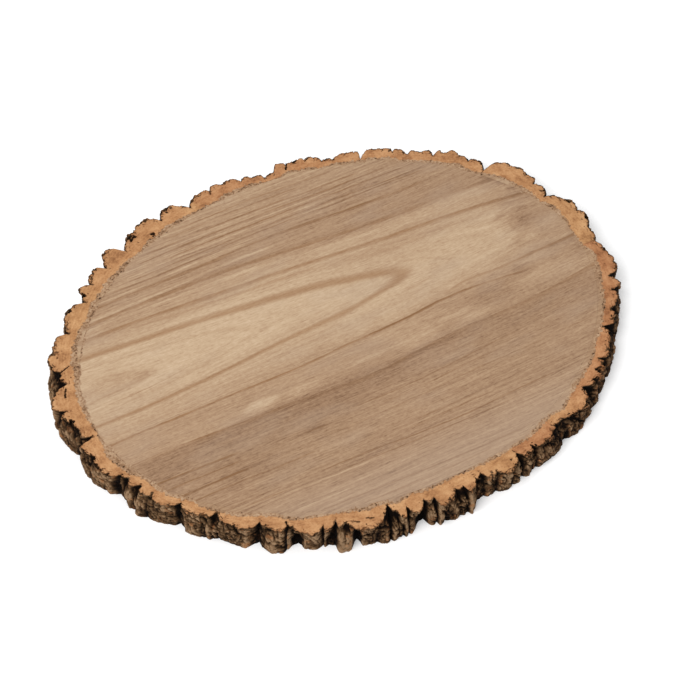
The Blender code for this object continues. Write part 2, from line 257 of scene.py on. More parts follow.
def round_rim(table, degrees):
    """A table's second column at any angle, for a table that goes once round the rim."""
    start = table[0][0]
    return straight_between(table, (degrees - start) % 360.0 + start)


def oval_radius(length, width, degrees):
    """Distance from the middle to an oval's edge, at an angle."""
    angle = math.radians(degrees)
    half_length = length / 2
    half_width = width / 2
    across = math.hypot(half_width * math.cos(angle), half_length * math.sin(angle))
    return half_length * half_width / across


def face_radius(degrees):
    return oval_radius(FACE_LENGTH, FACE_WIDTH, degrees)


def board_radius(degrees):
    return oval_radius(FACE_LENGTH - 2 * SEAM_WIDTH, FACE_WIDTH - 2 * SEAM_WIDTH, degrees)


def seam_edge_reach(degrees):
    """Reach of the line where the filler meets the bark, with small ragged steps."""
    ragged = ripple(degrees, 0.0, 2.2, 2.2, 4.0) + ripple(degrees, 0.0, 0.9, 0.9, 9.0) * 0.7
    return max(round_rim(SEAM_EDGE, degrees) + ragged, LEAST_SEAM - SEAM_WIDTH)


def ring_point(degrees, radius, height):
    """A place in metres, from its angle, and its radius and height in millimetres."""
    angle = math.radians(degrees)
    flat = Vector((math.cos(angle), math.sin(angle), 0.0)) * radius * MILLIMETRE
    return Vector((CENTRE.x, CENTRE.y, height * MILLIMETRE)) + flat


def ripple(degrees, height, length, length_up, seed):
    """Smooth noise from -1 to 1 on the rim, with waves of a length along it and another up it."""
    angle = math.radians(degrees)
    radius = RIM_RADIUS / length
    place = Vector((math.cos(angle) * radius, math.sin(angle) * radius, height / length_up + seed))
    return noise.noise(place)


def crease(value, width):
    """1 along the lines where a noise crosses nought, falling to 0 at a width on either side."""
    return max(0.0, 1.0 - abs(value) / width)


# Shaping the bark


def reach_between(start, end, degrees):
    """Reach between two corners of an outline: level beside the higher one, steep beside the lower."""
    share = (degrees - start[0]) / (end[0] - start[0]) * math.pi / 2
    if end[1] > start[1]:
        return start[1] + (end[1] - start[1]) * math.sin(share)
    return end[1] + (start[1] - end[1]) * math.cos(share)


def outline_reach(corners, degrees):
    """Reach of a strip's cut top at an angle, from its corners."""
    kept = min(max(degrees, corners[0][0]), corners[-1][0])
    place = min(max(bisect_right([corner[0] for corner in corners], kept), 1), len(corners) - 1)
    return reach_between(corners[place - 1], corners[place], kept)


def swell(degrees):
    """How far the side stands out below the cut top."""
    total = 0.0
    for middle, half_width, height in SIDE_SWELLS:
        away = abs(degrees - middle) / half_width
        if away < 1.0:
            total += height * math.cos(away * math.pi / 2)
    return total


def side_reach(degrees, reach, level):
    """Reach of the side at a level from 0, the bottom, to 1, the cut top."""
    angle = math.radians(degrees + SIDE_LEAN * level)
    place = Vector((math.cos(angle) * SIDE_WAVES, math.sin(angle) * SIDE_WAVES, level * SIDE_WAVES_UP))
    change = SIDE_EVENING * (SIDE_REACH - reach) + swell(degrees) + SIDE_WANDER * noise.noise(place)
    return reach + change * min(1.0, (1.0 - level) / SIDE_FADE)


def side_relief(degrees, height):
    """How deep the fissures and flakes of the bark's side are, in millimetres."""
    leaning = degrees + SIDE_LEAN * height / THICKNESS
    bent = leaning + 0.8 * ripple(degrees, height, 7.0, 6.0, 31.0)
    strong = 0.5 + 0.6 * ripple(leaning, height, 19.0, 14.0, 12.0)
    fissures = crease(ripple(bent, height, 8.0, 17.0, 1.0), 0.15) * 2.6 * max(0.0, strong)
    small_fissures = crease(ripple(bent, height, 3.4, 6.0, 2.0), 0.16)
    cross_cracks = crease(ripple(leaning, height, 9.0, 4.0, 5.0), 0.08) * 1.2
    flakes = 0.9 * (ripple(bent, height, 2.4, 3.2, 3.0) + 0.3)
    grit = 0.5 * (ripple(leaning, height, 1.0, 1.2, 6.0) + 0.4)
    return fissures + small_fissures + cross_cracks + max(0.0, flakes) + max(0.0, grit)


def distance_to_line(point, start, end):
    """Distance from a point to the nearest place on a line between two ends."""
    line = end - start
    share = min(1.0, max(0.0, (point - start).dot(line) / line.length_squared))
    return (point - start - line * share).length


def top_place(degrees, reach, middle):
    """A flat place on the cut top in millimetres, measured along the rim from a middle angle."""
    along = math.radians(degrees - middle) * (face_radius(middle) + HALF_BARK)
    return Vector((along, reach))


def cracks_near(degrees):
    """The cracks beside an angle, with their ends as flat places measured from it."""
    near = []
    for start, end, width, depth in BARK_CRACKS:
        if abs((start[0] + end[0]) / 2 - degrees) < NEAR_ANGLE:
            near.append((top_place(*start, degrees), top_place(*end, degrees), width, depth))
    return near


def top_drop(degrees, reach, outer, cracks):
    """How far the cut top has chipped, cracked or hollowed away, in millimetres."""
    point = Vector((0.0, reach))
    near_edge = math.exp((reach - outer) / 2.0)
    coarse = ripple(degrees, reach, 3.4, 2.6, 41.0)
    fine = ripple(degrees, reach, 1.2, 1.2, 43.0)
    drop = max(0.0, 0.9 * coarse + 0.7 * fine + 0.93 * near_edge - 0.85) * 4.0
    branches = crease(ripple(degrees + 0.5 * fine, reach, 4.5, 3.6, 45.0), 0.08)
    drop = max(drop, 1.4 * branches * math.exp((reach - outer) / 2.5))
    for start, end, width, depth in cracks:
        away = distance_to_line(point, start, end) + 0.5 * fine + 0.5 * coarse
        drop = max(drop, depth * min(1.0, max(0.0, 1.6 - away / width)))
    for middle, high, half_along, half_across, depth in BARK_HOLLOWS:
        if abs(middle - degrees) < NEAR_ANGLE:
            place = top_place(degrees, reach, middle)
            straight = math.hypot(place.x / half_along, (place.y - high) / half_across)
            away = straight + 1.2 * coarse + 0.6 * fine
            drop = max(drop, depth * min(1.0, max(0.0, 1.5 * (1.0 - away))))
    return min(drop, MOST_DROP)


# Rows round a bark strip's section: up the side, over the cut top, down the inner wall and back
SIDE_ROWS = 44
TOP_ROWS = 26
WALL_ROWS = 5
WALL_DROP = 0.1
UNDER_ROWS = 9

# Degrees between a strip's sections, and how far short of the joint each end stops
BARK_COLUMN = 0.15
END_GAP = 0.06

# Near the bottom the side's relief evens out towards a mean depth, so the foot's outline is smoother
FOOT_RELIEF = 0.9
FOOT_EVENING = 0.7
FOOT_FADE = 0.15


def side_section(corners, degrees):
    """Reaches of a strip's side from the bottom to the cut top."""
    least = seam_edge_reach(degrees) + LEAST_BARK
    raw_top = outline_reach(corners, degrees)
    reaches = []
    for row in range(SIDE_ROWS):
        level = row / SIDE_ROWS
        relief = side_relief(degrees, level * THICKNESS) * (0.6 + 0.4 * min(1.0, (1.0 - level) / 0.12))
        relief += (FOOT_RELIEF - relief) * FOOT_EVENING * math.exp(-level / FOOT_FADE)
        reaches.append(max(side_reach(degrees, raw_top, level) - relief, least))
    return reaches


def running_mean(values, half):
    """Each value's mean with its neighbours, as many as half on either side."""
    sums = [0.0]
    for value in values:
        sums.append(sums[-1] + value)
    means = []
    for place in range(len(values)):
        low = max(place - half, 0)
        high = min(place + half + 1, len(values))
        means.append((sums[high] - sums[low]) / (high - low))
    return means


def smoothed(table, half_along, half_up):
    """A table of columns, each value averaged with its neighbours up its column and along its row."""
    upright = [running_mean(column, half_up) for column in table]
    level = [running_mean(row, half_along) for row in zip(*upright)]
    return list(zip(*level))


def side_furrow_shade(sections):
    """How sunken each place of a side is among its neighbours, from 0, a ridge, to 1, a furrow. The bark's
    material paints shade from it.
    """
    wide_means = smoothed(sections, 24, 14)
    broad_means = smoothed(sections, 10, 8)
    near_means = smoothed(sections, 3, 3)
    hollows = []
    for section, *means in zip(sections, wide_means, broad_means, near_means):
        column = []
        for own, wide, broad, near in zip(section, *means):
            sunken = (wide - own) / 5.0 + (broad - own) / 4.0 + (near - own) / 2.0
            column.append(min(1.0, max(0.0, 0.5 + 0.5 * sunken)))
        hollows.append(column)
    return hollows


def side_rows(degrees, section, hollows):
    """Rows up a strip's side: reach, height, how freshly cut it looks, and its painted shade, which grows
    where it is sunken, plus the side's darkness by angle.
    """
    darkness = round_rim(DARKNESS, degrees)
    rows = []
    for row, reach in enumerate(section):
        height = THICKNESS * row / SIDE_ROWS
        near_top = math.exp((height - THICKNESS) / 1.5)
        dust = 0.8 * near_top + 0.9 * ripple(degrees, height, 9.0, 14.0, 71.0) - 0.35
        dust = max(0.0, dust - 1.2 * max(0.0, hollows[row] - 0.5))
        # Painted shade: the last value darkens sunken places, so the furrows turn near black
        rows.append((reach, height, dust, hollows[row] + darkness))
    return rows


def top_rows(degrees, outer, inner):
    """Rows over a strip's cut top, from its outer edge to the filler."""
    cracks = cracks_near(degrees)
    rows = []
    for row in range(TOP_ROWS):
        reach = outer + (inner - outer) * row / TOP_ROWS
        drop = top_drop(degrees, reach, outer, cracks)
        grain = 0.10 * (1.0 + ripple(degrees, reach, 1.0, 0.8, 51.0))
        cut = max(0.0, 1.0 - drop / 0.7 - 0.8 * math.exp((reach - outer) / 1.2))
        # The last value is painted shade: lighter where the cut top is level, darker the deeper it has
        # chipped
        rows.append((reach, THICKNESS - drop - grain, cut, min(1.0, 0.25 + drop / 4.0)))
    return rows


def bark_column(corners, degrees, section, hollows):
    """One section of a strip: for each row its place, flow (rim, reach, height), looks (how freshly cut,
    painted shade, redness) and joint.
    """
    inner = seam_edge_reach(degrees)
    top_relief = 0.6 * side_relief(degrees, THICKNESS)
    outer = max(outline_reach(corners, degrees) - top_relief, inner + LEAST_BARK)
    rows = side_rows(degrees, section, hollows) + top_rows(degrees, outer, inner)
    # The inner wall and the underside show sawn bark, with fixed amounts of painted shade
    for row in range(WALL_ROWS):
        rows.append((inner, (THICKNESS - WALL_DROP) * (1.0 - row / WALL_ROWS), 1.0, 0.6))
    foot = section[0]
    for row in range(UNDER_ROWS):
        reach = inner + (foot - inner) * row / UNDER_ROWS
        rows.append((reach, 0.0, 1.0, 0.2))
    red = round_rim(REDNESS, degrees)
    radius = face_radius(degrees)
    along = math.radians(degrees) * RIM_RADIUS
    column = []
    for reach, height, cut, depth in rows:
        flow = Vector((along, reach, height))
        looks = Vector((cut, depth, red))
        column.append((ring_point(degrees, radius + reach, height), flow, looks, reach - inner))
    return column


def bark_columns(corners):
    """All sections of a strip, which stops just short of its neighbours."""
    half_joint = math.degrees(END_GAP / face_radius(corners[0][0]))
    first = corners[0][0] + half_joint
    last = corners[-1][0] - half_joint
    count = math.ceil((last - first) / BARK_COLUMN)
    angles = [first + (last - first) * step / count for step in range(count + 1)]
    sections = [side_section(corners, angle) for angle in angles]
    hollows = side_furrow_shade(sections)
    return [bark_column(corners, *parts) for parts in zip(angles, sections, hollows)]


def wrapped_sheet(columns, closed_ends):
    """A grid that is drawn out so that each line of it goes round one column's rows."""
    mesh = bmesh.new()
    row_count = len(columns[0])
    column_steps = len(columns) if closed_ends else len(columns) - 1
    bmesh.ops.create_grid(mesh, x_segments=column_steps, y_segments=row_count, size=1.0)
    flow_layer = mesh.verts.layers.float_vector.new("flow")
    looks_layer = mesh.verts.layers.float_vector.new("looks")
    joint_layer = mesh.verts.layers.float.new("joint")
    for vert in mesh.verts:
        column = round((vert.co.x + 1.0) / 2.0 * column_steps) % len(columns)
        row = round((vert.co.y + 1.0) / 2.0 * row_count) % row_count
        place, flow, looks, joint = columns[column][row]
        vert.co = inside_box(place)
        vert[flow_layer] = flow
        vert[looks_layer] = looks
        vert[joint_layer] = joint
    seam = [vert for vert in mesh.verts if vert.is_boundary]
    bmesh.ops.remove_doubles(mesh, verts=seam, dist=1e-7)
    open_edges = [edge for edge in mesh.edges if edge.is_boundary]
    if open_edges:
        bmesh.ops.holes_fill(mesh, edges=open_edges, sides=0)
    bmesh.ops.recalc_face_normals(mesh, faces=mesh.faces)
    return mesh


def inside_box(place):
    """A place kept inside the CAD model's box."""
    low, high = CAD_BOX
    return Vector([min(max(place[axis], low[axis]), high[axis]) for axis in range(3)])


def add_piece(name, mesh, material, node, sharp_angle):
    """A finished piece that stands for a node. Edges sharper than an angle in degrees aren't smoothed."""
    data = bpy.data.meshes.new(name)
    mesh.to_mesh(data)
    mesh.free()
    data.shade_smooth()
    data.set_sharp_from_angle(angle=math.radians(sharp_angle))
    data.materials.append(material)
    piece = bpy.data.objects.new(name, data)
    bpy.context.collection.objects.link(piece)
    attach(piece, "root")
    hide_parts(node)


def make_bark_strips(material):
    for number, corners in enumerate(BARK_STRIPS, start=1):
        mesh = wrapped_sheet(bark_columns(corners), closed_ends=False)
        name = f"bark_strip_{number:02d}"
        add_piece(f"{name}_furrowed", mesh, material, name, 50)


# The crumbly ring of filler
SEAM_COLUMN = 0.2
SEAM_TOP_ROWS = 10
SEAM_DROP = 0.02
SEAM_MOST_DROP = 1.2
SEAM_BOTTOM = 1.2
# Painted shade on the ring's inner and outer walls
SEAM_SIDE_SHADE = 0.5

# Gaps to the board and to the bark, and the ring's least width
BOARD_GAP = 0.03
BARK_GAP = 0.02
LEAST_RING = 0.3


def seam_column(degrees):
    """One section of the filler's ring, as bark_column gives a strip's."""
    inner = board_radius(degrees) - face_radius(degrees) + BOARD_GAP
    outer = max(seam_edge_reach(degrees) - BARK_GAP, inner + LEAST_RING)
    rows = [(inner, SEAM_BOTTOM, SEAM_SIDE_SHADE)]
    for row in range(SEAM_TOP_ROWS + 1):
        reach = inner + (outer - inner) * row / SEAM_TOP_ROWS
        lumps = ripple(degrees, reach, 2.4, 2.4, 61.0)
        crumbs = ripple(degrees, reach, 0.9, 0.9, 63.0)
        away = 1.0 - math.exp((reach - outer) / 1.6)
        pits = max(0.0, 0.6 * lumps + 0.5 * crumbs - 0.22 - 0.3 * away)
        drop = SEAM_DROP + 0.06 * (1.0 - away) * (lumps + crumbs + 1.0) + 1.6 * pits
        # The last value is painted shade in the pits where crumbs have dropped out
        rows.append((reach, THICKNESS - min(drop, SEAM_MOST_DROP), min(1.0, 2.2 * pits)))
    rows.append((outer, SEAM_BOTTOM, SEAM_SIDE_SHADE))
    radius = face_radius(degrees)
    along = math.radians(degrees) * RIM_RADIUS
    red = round_rim(REDNESS, degrees)
    column = []
    for reach, height, depth in rows:
        flow = Vector((along, reach, height))
        looks = Vector((0.0, depth, red))
        column.append((ring_point(degrees, radius + reach, height), flow, looks, reach - outer))
    return column


def make_seam(material):
    count = round(360.0 / SEAM_COLUMN)
    columns = [seam_column(360.0 * step / count) for step in range(count)]
    mesh = wrapped_sheet(columns, closed_ends=True)
    add_piece("filler_seam_crumbly", mesh, material, "filler_seam", 60)


# A material's curves run from minus this place to plus it, and a pattern this long up is level
CURVE_END = 200.0
ANY_HEIGHT = 1e6


class Recipe:
    """One material, with a short call for each kind of node that it uses."""

    def __init__(self, name):
        self.material = bpy.data.materials.new(name)
        self.material.use_nodes = True
        self.tree = self.material.node_tree
        self.shader = self.tree.nodes["Principled BSDF"]

    def add(self, kind, **settings):
        node = self.tree.nodes.new(kind)
        for setting, value in settings.items():
            setattr(node, setting, value)
        return node

    def feed(self, socket, value):
        if isinstance(value, bpy.types.NodeSocket):
            self.tree.links.new(value, socket)
        else:
            socket.default_value = value

    def math(self, operation, *values):
        node = self.add("ShaderNodeMath", operation=operation)
        for socket, value in zip(node.inputs, values):
            self.feed(socket, value)
        return node.outputs[0]

    def parts(self, vector):
        node = self.add("ShaderNodeSeparateXYZ")
        self.feed(node.inputs[0], vector)
        return node.outputs[0], node.outputs[1], node.outputs[2]

    def vector(self, x, y, z):
        node = self.add("ShaderNodeCombineXYZ")
        for socket, value in zip(node.inputs, (x, y, z)):
            self.feed(socket, value)
        return node.outputs[0]

    def millimetres(self):
        """Places on the piece in millimetres from the board's middle."""
        place = self.add("ShaderNodeTexCoord").outputs["Object"]
        node = self.add("ShaderNodeMapping", vector_type="POINT")
        self.feed(node.inputs["Vector"], place)
        scale = 1.0 / MILLIMETRE
        node.inputs["Scale"].default_value = (scale, scale, scale)
        node.inputs["Location"].default_value = (-CENTRE.x * scale, -CENTRE.y * scale, 0.0)
        return node.outputs[0]

    def attribute(self, name):
        return self.add("ShaderNodeAttribute", attribute_name=name).outputs["Vector"]

    def number(self, name):
        return self.add("ShaderNodeAttribute", attribute_name=name).outputs["Fac"]

    def stretched(self, vector, lengths, shift=0.0):
        """A vector divided by the lengths that one wave of a noise has along each axis."""
        node = self.add("ShaderNodeMapping", vector_type="POINT")
        self.feed(node.inputs["Vector"], vector)
        node.inputs["Scale"].default_value = [1.0 / length for length in lengths]
        node.inputs["Location"].default_value = (shift, shift, shift)
        return node.outputs[0]

    def noise(self, vector, lengths, detail=2.0, roughness=0.5, shift=0.0, distortion=0.0):
        node = self.add("ShaderNodeTexNoise")
        self.feed(node.inputs["Vector"], self.stretched(vector, lengths, shift))
        node.inputs["Scale"].default_value = 1.0
        node.inputs["Detail"].default_value = detail
        node.inputs["Roughness"].default_value = roughness
        node.inputs["Distortion"].default_value = distortion
        return node.outputs[0]

    def spread(self, value, low, high, start=0.0, end=1.0, smooth=True):
        """A value's range from low to high moved to the range from start to end, and kept in it."""
        node = self.add("ShaderNodeMapRange", interpolation_type="SMOOTHSTEP" if smooth else "LINEAR")
        for socket, given in zip(node.inputs, (value, low, high, start, end)):
            self.feed(socket, given)
        return node.outputs[0]

    def curve(self, value, points, low, high):
        """A smooth curve through points, over places across or along the board."""
        node = self.add("ShaderNodeFloatCurve")
        line = node.mapping.curves[0]
        span = 2 * CURVE_END
        scaled = [((x + CURVE_END) / span, (y - low) / (high - low)) for x, y in points]
        line.points[0].location = scaled[0]
        line.points[1].location = scaled[-1]
        for x, y in scaled[1:-1]:
            line.points.new(x, y)
        node.mapping.use_clip = False
        node.mapping.extend = "HORIZONTAL"
        node.mapping.update()
        self.feed(node.inputs["Value"], self.math("MULTIPLY_ADD", value, 1.0 / span, 0.5))
        return self.math("MULTIPLY_ADD", node.outputs[0], high - low, low)

    def ramp(self, value, stops):
        """Colours, written as in a paint program from 0 to 255, at places from 0 to 1."""
        node = self.add("ShaderNodeValToRGB")
        elements = node.color_ramp.elements
        while len(elements) > 1:
            elements.remove(elements[-1])
        elements[0].position = stops[0][0]
        elements[0].color = paint(stops[0][1])
        for position, colour in stops[1:]:
            elements.new(position).color = paint(colour)
        self.feed(node.inputs[0], value)
        return node.outputs[0]

    def blend(self, share, first, second):
        node = self.add("ShaderNodeMix", data_type="RGBA")
        self.feed(node.inputs["Factor"], share)
        for name, value in (("A", first), ("B", second)):
            socket = next(item for item in node.inputs if item.name == name and item.type == "RGBA")
            self.feed(socket, value if isinstance(value, bpy.types.NodeSocket) else paint(value))
        return next(item for item in node.outputs if item.type == "RGBA")

    def bump(self, height, distance):
        node = self.add("ShaderNodeBump")
        node.inputs["Strength"].default_value = 1.0
        node.inputs["Distance"].default_value = distance * MILLIMETRE
        self.feed(node.inputs["Height"], height)
        self.feed(self.shader.inputs["Normal"], node.outputs[0])


def paint(colour):
    """A linear colour with full alpha from red, green and blue between 0 and 255."""
    shares = [channel / 255.0 for channel in colour]
    return [*(((share + 0.055) / 1.055) ** 2.4 if share > 0.04 else share / 12.92 for share in shares), 1.0]


# Courses of long grain lines, as (x, y)
UPPER_COURSE = (
    (-165, 72.5), (-140, 71.5), (-100, 69.5), (-50, 66), (0, 62), (50, 57.5), (100, 54), (130, 51.5),
    (175, 45.5),
)
BAND_COURSE = (
    (-160, 82), (-120, 82.6), (-80, 82.4), (-40, 81.2), (0, 77.4), (20, 75.6), (40, 73.8), (60, 72.5),
    (80, 71), (100, 70.2), (120, 70.2), (140, 69), (165, 67),
)
MIDDLE_COURSE = (
    (-182, -17), (-100, -17.3), (-50, -18.5), (0, -16.6), (40, -15.4), (60, -13.8), (70, -12.9),
    (90, -13.2), (125, -16.8), (140, -18.2),
)
LOWER_COURSE = (
    (-178, -38.5), (-140, -39), (-100, -41.2), (-60, -43), (-20, -46), (0, -46.8), (25, -45), (60, -42.5),
    (100, -42.5), (140, -40), (180, -35),
)
BOTTOM_COURSE = ((-72, -101), (-40, -101.6), (0, -104.8), (40, -106), (60, -105), (104, -104.4))
TOP_COURSE = (
    (-145, 94), (-100, 95), (-60, 94.5), (-10, 96.6), (20, 95), (40, 93.6), (60, 92.2), (80, 91.6),
    (120, 91),
)
HIGH_COURSE = ((-128, 102.6), (-60, 101.6), (-20, 104), (20, 103.8), (50, 102), (80, 102), (128, 101))

# The wood's figure. Each line is a course, then where it starts and ends, its strength, and how far it
# fades above and below. A minus strength is a light line. One that starts or ends at OVER_RIM runs out
# over the rim, and one that comes as near as NEAR_RIM doesn't fade at that end.
OVER_RIM = 200
NEAR_RIM = 190
FADE_LENGTH = 14.0
GRAIN_LINES = (
    # Bands beside the arches
    (UPPER_COURSE, -200, 200, 1.0, 1.6, 4.5),
    (((-120, 66), (-80, 62), (-40, 59), (0, 55)), -130, 12, 0.45, 2.5, 3.5),
    (((0, 54), (40, 48.5), (80, 44), (110, 43)), -4, 116, 0.25, 4.0, 4.0),
    (BAND_COURSE, -200, 200, 0.8, 5.0, 1.8),
    (((-160, 78.6), (-120, 78.2), (-80, 77), (-40, 76), (0, 71), (60, 65)), -200, 70, -0.55, 2.0, 2.8),
    # A faint second tip to the right of the arches, and thin lines inside them
    (((60, 31), (75, 27), (90, 19), (98, 11)), 52, 104, 0.22, 2.5, 2.0),
    (((-165, 14.2), (-130, 15), (-107, 18)), -170, -98, 0.55, 0.6, 0.8),
    (((-178, 21), (-150, 22), (-132, 23.5)), -190, -126, 0.5, 1.0, 1.5),
    (((-155, 85.2), (-110, 85.6), (-80, 86.6), (-50, 87.7), (-10, 87)), -200, -4, -1.3, 2.0, 1.8),
    (MIDDLE_COURSE, -200, 138, 1.2, 1.0, 2.0),
    (((0, -16.6), (40, -15.3), (60, -13.6), (74, -12.4)), 8, 76, 1.1, 0.7, 0.9),
    (((138, -6.2), (160, -5.8), (183, -5.2)), 132, 200, 1.0, 1.4, 2.4),
    (((68, -11), (80, -8), (90, -6), (120, -7), (150, -6.5), (182, -5)), 72, 200, 0.8, 1.0, 2.5),
    (((-182, -14.2), (-100, -14.6), (-60, -15)), -200, -60, -0.4, 0.8, 0.8),
    # The line in the lower middle, light above and dark below
    (LOWER_COURSE, -200, 200, 0.55, 0.8, 6.0),
    (LOWER_COURSE[:9], -140, -90, 0.8, 0.7, 1.2),
    # Lower left streaks
    (((-165, -59.3), (-140, -60), (-107, -62)), -200, -106, 1.2, 0.9, 1.6),
    (((-165, -67), (-140, -67.3), (-107, -68.6)), -200, -106, 0.8, 0.9, 1.6),
    (((-160, -75), (-130, -75.5), (-112, -76.2)), -200, -104, 1.2, 1.0, 2.2),
    (((-160, -82.3), (-120, -83), (-95, -84.4), (-60, -85)), -200, -60, 0.7, 0.8, 1.6),
    (((-75, -68.5), (-45, -70.2)), -74, -44, 0.9, 1.4, 1.4),
    (((-30, -65.5), (10, -66.2), (60, -64), (80, -62.6), (104, -62)), -34, 106, 0.55, 0.8, 1.2),
    (((-12, -71), (20, -71.6), (60, -69.8), (110, -69.6)), -14, 110, 0.5, 0.8, 1.2),
    (((-60, -77), (0, -78), (60, -76.7), (100, -77), (160, -75.5)), -64, 160, 0.4, 0.8, 1.4),
    (((0, -94), (55, -94.6)), -2, 56, 0.6, 1.4, 1.8),
    (((-10, -98.4), (60, -98)), -12, 60, 0.5, 1.0, 1.6),
    (((-140, -98), (-95, -99.2)), -150, -92, 0.4, 0.9, 1.2),
    (((-130, -102), (-110, -102.6), (-92, -104)), -132, -90, 0.8, 0.7, 1.1),
    (BOTTOM_COURSE, -74, 106, 0.85, 0.7, 1.2),
    (((-62, -106), (0, -109), (40, -110), (78, -109.4)), -66, 80, 0.7, 0.7, 1.1),
    (((-122, -106), (-60, -108), (-20, -111)), -124, -20, -0.6, 1.0, 1.0),
    (((38, -112), (92, -111.6)), 36, 94, -0.6, 1.2, 1.2),
    (((-102, -120.6), (-58, -121.4)), -104, -56, -0.8, 1.2, 1.2),
    (((-92, -127.6), (-60, -129), (-20, -131.4), (20, -133.2), (84, -133.5)), -96, 88, 0.8, 0.8, 1.4),
    (((-90, -125), (0, -129.6), (60, -130.6)), -92, 64, -0.5, 1.2, 1.2),
    (((-72, -134.5), (-20, -137.4), (30, -138)), -76, 40, 0.7, 0.8, 1.4),
    # Lines near the upper edge, dark and light in turn
    (TOP_COURSE, -150, 122, 0.75, 1.6, 3.2),
    (((30, 94.6), (60, 92.4), (82, 91.8)), 32, 84, 0.7, 0.7, 0.9),
    (((-140, 97.6), (-100, 97.6), (-60, 99), (-20, 100.6), (0, 100.2)), -146, 6, -0.9, 1.1, 1.1),
    (HIGH_COURSE, -130, 130, 0.8, 0.9, 1.3),
    (((-110, 105.6), (-40, 106), (0, 106.6), (40, 106), (80, 104.6), (124, 104)), -114, 126, 0.8, 0.9, 1.2),
    (((-115, 108.2), (-50, 110), (0, 110), (40, 109)), -120, 44, -0.8, 1.2, 1.2),
    (((-80, 112), (0, 112.8), (50, 111.6), (110, 110.4)), -84, 116, 0.9, 0.9, 1.4),
    (((-115, 114), (0, 115.2), (60, 114.4)), -118, 64, -0.6, 1.0, 1.0),
    (((-100, 117), (-60, 118), (0, 118.5), (50, 117.2), (100, 116)), -104, 104, 0.8, 0.9, 1.5),
    (((-95, 120.4), (0, 121.6), (40, 121)), -98, 44, -0.6, 1.1, 1.1),
    (((-92, 123), (0, 124), (50, 122.2), (80, 121)), -94, 84, 0.7, 0.9, 1.6),
    (((-80, 126), (0, 127.2), (40, 126.2)), -84, 44, -0.5, 1.2, 1.2),
    (((-74, 129), (0, 130.2), (40, 129)), -76, 44, 0.5, 1.2, 1.6),
    (((-66, 133.6), (-30, 134.6), (0, 135.4), (30, 134), (62, 132)), -68, 66, 0.7, 1.0, 1.5),
)

# Broad light and dark zones across the face, on the left, and on the right: y, and lightness
ZONES_LEFT = (
    (-150, 0.26), (-130, 0.37), (-120, 0.40), (-100, 0.34), (-80, 0.34), (-62, 0.30), (-46, 0.26),
    (-38, 0.46), (-20, 0.50), (-8, 0.62), (8, 0.74), (30, 0.82), (50, 0.79), (62, 0.66), (76, 0.53),
    (92, 0.43), (110, 0.46), (130, 0.48), (140, 0.57), (150, 0.60),
)
ZONES_RIGHT = (
    (-150, 0.42), (-120, 0.44), (-100, 0.38), (-80, 0.40), (-62, 0.34), (-46, 0.32), (-36, 0.46),
    (-20, 0.44), (-6, 0.62), (6, 0.74), (30, 0.76), (44, 0.62), (54, 0.57), (62, 0.66), (70, 0.48),
    (82, 0.38), (92, 0.42), (100, 0.38), (120, 0.44), (132, 0.47), (140, 0.57), (150, 0.60),
)

# Where the two kinds of zone change over, along the board
ZONES_CHANGE = (-60.0, 110.0)

# The arches: how far their growth rings lie under the face along the board, how grain far from them
# bends, their middle line, and how fine their rings are
ARCH_DEPTH = (
    (-185, -842), (-160, -794), (-120, -680), (-80, -542), (-40, -372), (0, -242), (30, -108), (57, -12),
    (100, 225), (150, 460), (185, 620),
)
FAR_COURSE = ((-185, 4.5), (-100, 2.5), (0, 0), (60, -0.8), (185, 1.6))
ARCH_MIDDLE = (
    (-185, 29.9), (-160, 29.1), (-120, 27.4), (-80, 26.9), (-40, 25.7), (0, 24), (30, 22.2), (60, 21),
    (185, 19.5),
)
ARCH_FINENESS = ((-185, 0.75), (-100, 0.8), (0, 0.95), (30, 1.3), (60, 1.9), (185, 1.9))

# Dark bands along the arches: the ring that each follows, how far it fades outside and inside, and strength
ARCH_BANDS = ((29.8, 2.0, 1.4, 1.05), (21.6, 0.6, 0.6, 0.28), (13.5, 1.6, 3.0, 0.25))

# Stains, knots and paler places: middle x and y, half length, half width, and how much darker
PATCHES = (
    (176, 22, 36, 42, 0.30), (158, 28, 18, 12, 0.12), (160, -11, 24, 4, -0.08), (168, 66, 18, 12, 0.36),
    (-160, 29, 28, 8, 0.16), (-134, 25, 9, 4, 0.14), (-147, 11, 5, 6, 0.10), (134, -16, 10, 5, 0.16),
    (40, -22, 36, 5, -0.12), (146, 10, 6, 4, 0.12), (135, 0, 18, 8, 0.12), (103, -26, 22, 10, 0.12),
    (-61, -68, 12, 4, 0.12), (45, -112, 12, 8, 0.10), (-112, -75, 22, 8, 0.10), (-10, -82, 80, 22, -0.07),
    (-79, -34.5, 15, 4.6, -0.34), (-48, -36, 16, 5, -0.14), (30, -9, 44, 6, -0.10),
    (38, -33, 22, 8, -0.16), (70, -29, 15, 3, -0.2), (84, -36, 12, 3, -0.2), (152, -26, 28, 8, -0.10),
    (2, -34, 14, 2, -0.14), (-20, -140, 80, 9, -0.10),
)


def wavering(recipe, place):
    """The place with its y bent a little, so that no grain line is ruler straight."""
    x, y, _ = recipe.parts(place)
    slow = recipe.noise(place, (55.0, 22.0, 54.0), detail=1.0)
    quick = recipe.noise(place, (9.0, 5.0, 20.0), detail=2.0, shift=7.0)
    bend = recipe.math("MULTIPLY_ADD", slow, 1.6, -0.5)
    shake = recipe.math("MULTIPLY_ADD", quick, 0.9, -0.45)
    return x, recipe.math("ADD", recipe.math("ADD", y, bend), shake)


